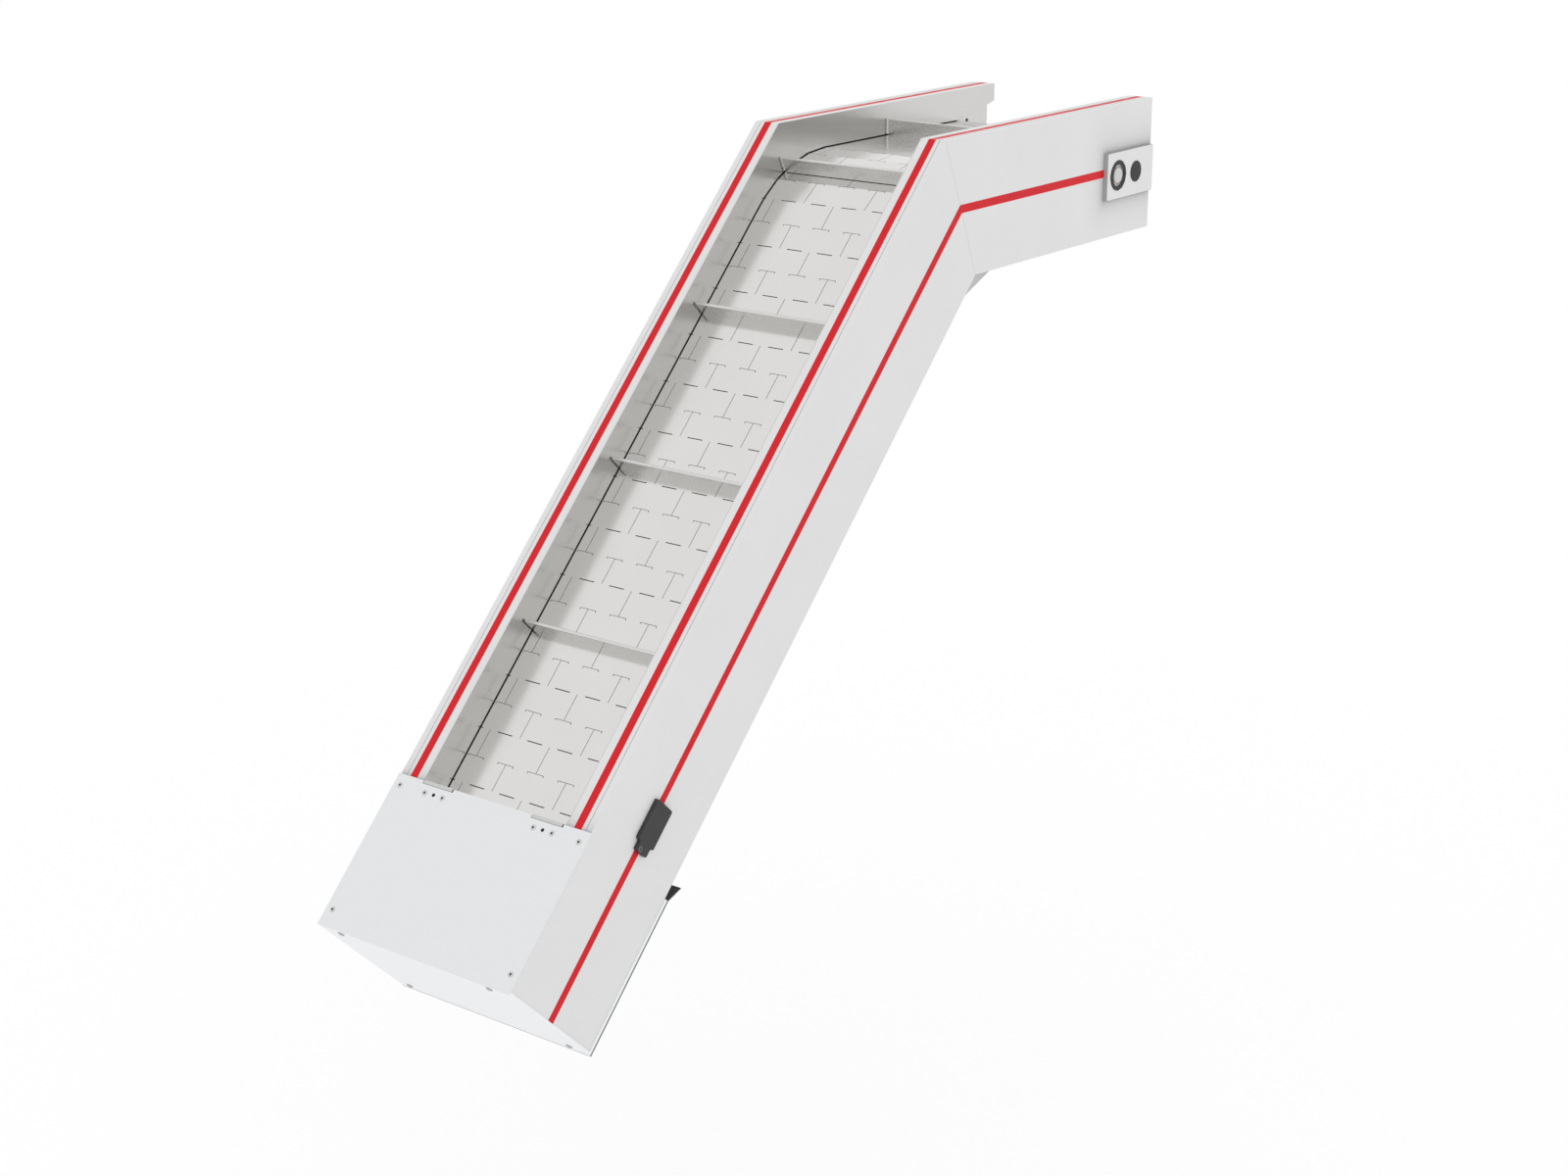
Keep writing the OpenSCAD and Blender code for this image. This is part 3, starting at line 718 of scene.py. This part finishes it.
def cleat_section(slot):
    """A cleat's section (along, height) with a slot of this height at its foot."""
    half = CLEAT_T / 2
    right = [(half, 0)]
    if slot:
        right = [(half - SLOT_DEPTH, 0), (half - SLOT_DEPTH, slot), (half, slot)]
    right += [(half - TOP_R + TOP_R * cos(a), CLEAT_H - TOP_R + TOP_R * sin(a))
              for a in (k * pi / 2 / CURVE_STEPS for k in range(CURVE_STEPS + 1))]
    return right + [(-u, h) for u, h in reversed(right)]


cleats = bmesh.new()
for k in range(int(loop_length / CLEAT_GAP)):
    s = CLEAT_START + k * CLEAT_GAP
    row = int((s - HINGE_START) // row_length)
    start, along, normal, length = plate_frame(row)
    part = (s - HINGE_START) / row_length - row
    foot = KNEE + start + along * (part * length)
    slot = SLOT_H if runs[0] < s < sum(runs[:2]) else 0
    section = cleat_section(slot)
    ends = []
    for y in (-CLEAT_HALF, CLEAT_HALF):
        ends.append([cleats.verts.new(foot + along * u + normal * h + Vector((0, y, 0)))
                     for u, h in section])
    for a in range(len(section)):
        b = (a + 1) % len(section)
        face = cleats.faces.new((ends[0][a], ends[0][b], ends[1][b], ends[1][a]))
        face.material_index = 1 if max(section[a][1], section[b][1]) <= slot else 0
    cleats.faces.new(ends[0])
    cleats.faces.new(list(reversed(ends[1])))
bmesh.ops.recalc_face_normals(cleats, faces=cleats.faces)
cleats_data = bpy.data.meshes.new("cleat_bars")
cleats.to_mesh(cleats_data)
cleats.free()
add_piece("cleat_bars", cleats_data, (cleat_steel, shade_black), "belt_plates", "cleats")

# Head end: a painted plate on each beam holds a twelve-sided bearing ring, its
# sleeve and the chamfered shaft end, with a plastic cap beside them. Sprockets and
# guides sit inside.
PLASTIC_DARK = (0.026, 0.026, 0.026)
STEEL = (0.62, 0.615, 0.60)
GUIDE_DARK = (0.03, 0.03, 0.03)
PLATE_EDGE_SHADE = (0.41, 0.41, 0.41)
PLATE_FACE = 0.2145
PLATE_CORNER = 0.004
PLATE_EDGE = 0.0006
HOLE_R = 0.0290
HOLE_SIDES = 36
RING_SIDES = 12
RING = ((0.0288, 0.2060), (0.0288, 0.2145), (0.0293, 0.2145), (0.0293, 0.2152),
        (0.0290, 0.2155), (0.0212, 0.2155), (0.0209, 0.2152), (0.0209, 0.2060),
        (0.0288, 0.2060))
SLEEVE = ((0.0208, 0.2060), (0.0208, 0.2135), (0.0186, 0.2135), (0.0184, 0.2105),
          (0.0151, 0.2105), (0.0151, 0.2060), (0.0208, 0.2060))
SHAFT = ((0.0150, 0.0), (0.0150, 0.2143), (0.0140, 0.2153), (0, 0.2153))
GUIDE_OUTLINE = ((0.0065, 0.012), (0.0065, -0.0018), (0.0245, -0.0055),
                 (0.0320, -0.0020), (0.0330, 0.012))
GUIDE_Y = (0.1534, 0.1540)
GUIDE_SCREW = ((0.0036, 0.1540), (0.0036, 0.1520), (0.0030, 0.1515), (0, 0.1515))
GUIDE_SCREW_AT = (0.034, 0.0025)

plastic_dark = Finish("plastic_dark", PLASTIC_DARK, 0.5, specular=0.3)
plastic_dark.shade(plastic_dark.noise(40, 3), 0.93, 1.08)
plastic_dark.bump(plastic_dark.noise(1200, 2), 0.00008)
turned_steel = Finish("turned_steel", STEEL, 0.35, metallic=0.75)
turned_steel.rough(turned_steel.noise(500, 3), 0.28, 0.44)
guide_dark = Finish("guide_dark", GUIDE_DARK, 0.55)
guide_dark.shade(guide_dark.noise(40, 3), 0.9, 1.1)
finish_node(plastic_dark, "plate_caps")
finish_node(turned_steel, "tail_shaft")
# The head plates' edges and the walls of their holes are a darker grey: painted shade.
plate_edge_shade = Finish("plate_edge_shade", PLATE_EDGE_SHADE, 0.6, specular=0.2)
plate_edge_shade.shade(plate_edge_shade.noise(600, 3), 0.88, 1.12)
finish_node(guide_dark, "return_guides", "head_sprockets", "tail_sprockets",
            "tail_bearings")


def rounded_outline(corners, radius, steps=5):
    """Rounds the corners of a closed outline, inner ones as well."""
    points = []
    count = len(corners)
    for k, corner_point in enumerate(corners):
        here = Vector(corner_point)
        back = (Vector(corners[k - 1]) - here).normalized()
        ahead = (Vector(corners[(k + 1) % count]) - here).normalized()
        middle = here + (back + ahead) * radius
        first = here + back * radius - middle
        last = here + ahead * radius - middle
        for step in range(steps + 1):
            f = step / steps
            turn = (first * cos(f * pi / 2) + last * sin(f * pi / 2))
            points.append(middle + turn)
    return points


def slab(mesh, outline, place, back, front, edge, hole=()):
    """A flat plate with a softened front edge; place puts (outline point, y)."""
    rings = []
    for y, inset in ((back, 0), (front - (front - back) / abs(front - back) * edge, 0),
                     (front, edge)):
        ring = []
        for k, p in enumerate(outline):
            run = (outline[(k + 1) % len(outline)] - outline[k - 1]).normalized()
            ring.append(mesh.verts.new(place(p + Vector((-run.y, run.x)) * inset, y)))
        rings.append(ring)
    walls = list(zip(rings, rings[1:]))
    holes = [[mesh.verts.new(place(p, y)) for p in hole] for y in (back, front)]
    if hole:
        walls.append(holes)
    for low, high in walls:
        for k in range(len(low)):
            nxt = (k + 1) % len(low)
            face = mesh.faces.new((low[k], low[nxt], high[nxt], high[k]))
            face.material_index = 1
    for ring, inner in ((rings[0], holes[0]), (rings[-1], holes[1])):
        corners = ring + inner
        loops = [[v.co for v in loop] for loop in (ring, inner) if loop]
        for triangle in tessellate_polygon(loops):
            mesh.faces.new([corners[k] for k in triangle])


def finished(name, mesh):
    """Ends the making of a mesh."""
    bmesh.ops.remove_doubles(mesh, verts=mesh.verts, dist=1e-6)
    bmesh.ops.recalc_face_normals(mesh, faces=mesh.faces)
    data = bpy.data.meshes.new(name)
    mesh.to_mesh(data)
    mesh.free()
    return data


head_centre = KNEE + Vector((HEAD_AXIS, 0, -axis_drop))
rings_mesh, sleeves, shaft_ends = bmesh.new(), bmesh.new(), bmesh.new()
guides, guide_heads = bmesh.new(), bmesh.new()
plate_corners = [Vector((x, d)) for x, d in (
    (PLATE_X[0], PLATE_DEPTH[0]), (PLATE_X[1], PLATE_DEPTH[0]),
    (PLATE_X[1], PLATE_DEPTH[1]), (PLATE_X[0], PLATE_DEPTH[1]))]
hole = [Vector((HEAD_AXIS + HOLE_R * cos(2 * pi * k / HOLE_SIDES),
                axis_drop + HOLE_R * sin(2 * pi * k / HOLE_SIDES)))
        for k in range(HOLE_SIDES)]


def on_head(p, y):
    """A point of the head section: p is (from the knee, depth)."""
    return KNEE + Vector((p.x, y, -p.y))


for side, word in ((-1, "right"), (1, "left")):
    outward = Vector((0, side, 0))
    upright = Vector((0, 0, 1))
    plate = bmesh.new()
    slab(plate, rounded_outline(plate_corners, PLATE_CORNER), on_head, side * OUTER_Y,
         side * PLATE_FACE, PLATE_EDGE, hole)
    add_piece("head_plate_" + word + "_cut", finished("head_plate_" + word + "_cut", plate),
              (frame_paint, plate_edge_shade), "frame_paint", "head_plate_" + word)
    lathe(rings_mesh, RING, head_centre, outward, upright, RING_SIDES)
    lathe(sleeves, SLEEVE, head_centre, outward, upright, 36)
    lathe(shaft_ends, SHAFT, head_centre, outward, upright, 36)
    guide_outline = [Vector((HEAD_AXIS + x, DROP + d)) for x, d in GUIDE_OUTLINE]
    slab(guides, [Vector((p.x, p.y)) for p in reversed(guide_outline)], on_head,
         side * GUIDE_Y[1], side * GUIDE_Y[0], 0.0001)
    lathe(guide_heads, GUIDE_SCREW,
          on_head(Vector((HEAD_AXIS + GUIDE_SCREW_AT[0], DROP + GUIDE_SCREW_AT[1])), 0),
          outward, upright, 20)
add_piece("bearing_rings_cut", finished("bearing_rings_cut", rings_mesh), (plastic_dark,),
          "dark_plastic", "bearing_rings")
add_piece("bearing_sleeves_turned", finished("bearing_sleeves_turned", sleeves),
          (turned_steel,), "bright_steel", "bearing_sleeves")
add_piece("head_shaft_turned", finished("head_shaft_turned", shaft_ends), (turned_steel,),
          "bright_steel", "head_shaft")
add_piece("end_guides", finished("end_guides", guides), (end_white, end_white),
          "guide_plastic")
add_piece("guide_screws", finished("guide_screws", guide_heads), (dark_and_shade,),
          "bright_steel")

# Controller: a flat dark plastic case with rounded corners screwed to the right
# beam, and a round button on its narrow end.
CASE_T = (1.241, 1.313)
CASE_DEPTH = (0.105, 0.153)
END_T = 1.330
END_DEPTH = (0.113, 0.145)
CASE_FACE = -0.214
CASE_BACK = -0.206
CASE_CORNER = 0.0035
CASE_EDGE = 0.0008
BUTTON_AT = (1.3247, 0.1200)

case_dark = Finish("case_dark", (0.041, 0.041, 0.040), 0.5, specular=0.3)
case_dark.shade(case_dark.noise(30, 3), 0.95, 1.06)
case_dark.bump(case_dark.noise(1500, 2), 0.00008)
button_grey = Finish("button_grey", (0.095, 0.095, 0.095), 0.4)
button_grey.shade(button_grey.noise(60, 3), 0.9, 1.1)


case_corners = [(CASE_T[0], CASE_DEPTH[0]), (CASE_T[1], CASE_DEPTH[0]),
                (CASE_T[1], END_DEPTH[0]), (END_T, END_DEPTH[0]),
                (END_T, END_DEPTH[1]), (CASE_T[1], END_DEPTH[1]),
                (CASE_T[1], CASE_DEPTH[1]), (CASE_T[0], CASE_DEPTH[1])]
case = bmesh.new()
slab(case, rounded_outline([Vector(c) for c in case_corners], CASE_CORNER),
     lambda p, y: on_incline(p.x, y, p.y), CASE_BACK, CASE_FACE, CASE_EDGE)
add_piece("controller_body", finished("controller_body", case), (case_dark, case_dark),
          "dark_plastic", "controller_case")

button = bmesh.new()
lathe(button, ((0.0052, 0.0), (0.0052, 0.0004), (0.0047, 0.0008), (0.0020, 0.0008),
               (0.0018, 0.0004), (0, 0.0004)),
      on_incline(BUTTON_AT[0], CASE_FACE, BUTTON_AT[1]), Vector((0, -1, 0)), UP_SLOPE,
      28, (0, 0, 0, 1, 1))
button_data = bpy.data.meshes.new("push_button")
button.to_mesh(button_data)
button.free()
add_piece("push_button", button_data, (button_grey, dark_and_shade), "button_plastic",
          "controller_button")

# Studio: a white floor under the tail and soft white light all round.
FLOOR_Z = -1.55
FLOOR_HALF = 40.0
WORLD_LIGHT = 1.0
FLOOR_SHOWN_WHITE = 0.6

floor_mesh = bpy.data.meshes.new("floor")
floor_mesh.from_pydata([(-FLOOR_HALF, -FLOOR_HALF, FLOOR_Z), (FLOOR_HALF, -FLOOR_HALF, FLOOR_Z),
                        (FLOOR_HALF, FLOOR_HALF, FLOOR_Z), (-FLOOR_HALF, FLOOR_HALF, FLOOR_Z)],
                       [], [(0, 1, 2, 3)])
floor = bpy.data.objects.new("floor", floor_mesh)
bpy.context.scene.collection.objects.link(floor)



def shown_ray(tree):
    """True for rays that show the background: seen, mirrored or seen through."""
    path = tree.nodes.new("ShaderNodeLightPath")
    shown = path.outputs["Is Camera Ray"]
    for kind in ("Is Glossy Ray", "Is Transmission Ray"):
        either = tree.nodes.new("ShaderNodeMath")
        either.operation = "MAXIMUM"
        tree.links.new(shown, either.inputs[0])
        tree.links.new(path.outputs[kind], either.inputs[1])
        shown = either.outputs["Value"]
    return shown


floor_white = bpy.data.materials.new("floor_white")
floor_white.use_nodes = True
floor_tree = floor_white.node_tree
diffuse = floor_tree.nodes["Principled BSDF"]
diffuse.inputs["Base Color"].default_value = (1, 1, 1, 1)
diffuse.inputs["Roughness"].default_value = 0.9
diffuse.inputs["Specular IOR Level"].default_value = 0.0
glow = floor_tree.nodes.new("ShaderNodeEmission")
glow.inputs["Strength"].default_value = 1.0
mix = floor_tree.nodes.new("ShaderNodeMixShader")
share = floor_tree.nodes.new("ShaderNodeMath")
share.operation = "MULTIPLY"
share.inputs[1].default_value = FLOOR_SHOWN_WHITE
floor_tree.links.new(shown_ray(floor_tree), share.inputs[0])
floor_tree.links.new(share.outputs["Value"], mix.inputs["Fac"])
floor_tree.links.new(diffuse.outputs["BSDF"], mix.inputs[1])
floor_tree.links.new(glow.outputs["Emission"], mix.inputs[2])
floor_tree.links.new(mix.outputs["Shader"],
                     floor_tree.nodes["Material Output"].inputs["Surface"])
floor_mesh.materials.append(floor_white)

world = bpy.data.worlds.new("studio")
bpy.context.scene.world = world
world.use_nodes = True
sky = world.node_tree
light = sky.nodes["Background"]
light.inputs["Color"].default_value = (1, 1, 1, 1)
light.inputs["Strength"].default_value = WORLD_LIGHT
shown = sky.nodes.new("ShaderNodeBackground")
shown.inputs["Color"].default_value = (1, 1, 1, 1)
shown.inputs["Strength"].default_value = 1.0
blend_sky = sky.nodes.new("ShaderNodeMixShader")
sky.links.new(shown_ray(sky), blend_sky.inputs["Fac"])
sky.links.new(light.outputs["Background"], blend_sky.inputs[1])
sky.links.new(shown.outputs["Background"], blend_sky.inputs[2])
sky.links.new(blend_sky.outputs["Shader"], sky.nodes["World Output"].inputs["Surface"])

bpy.context.scene.view_settings.view_transform = "Standard"
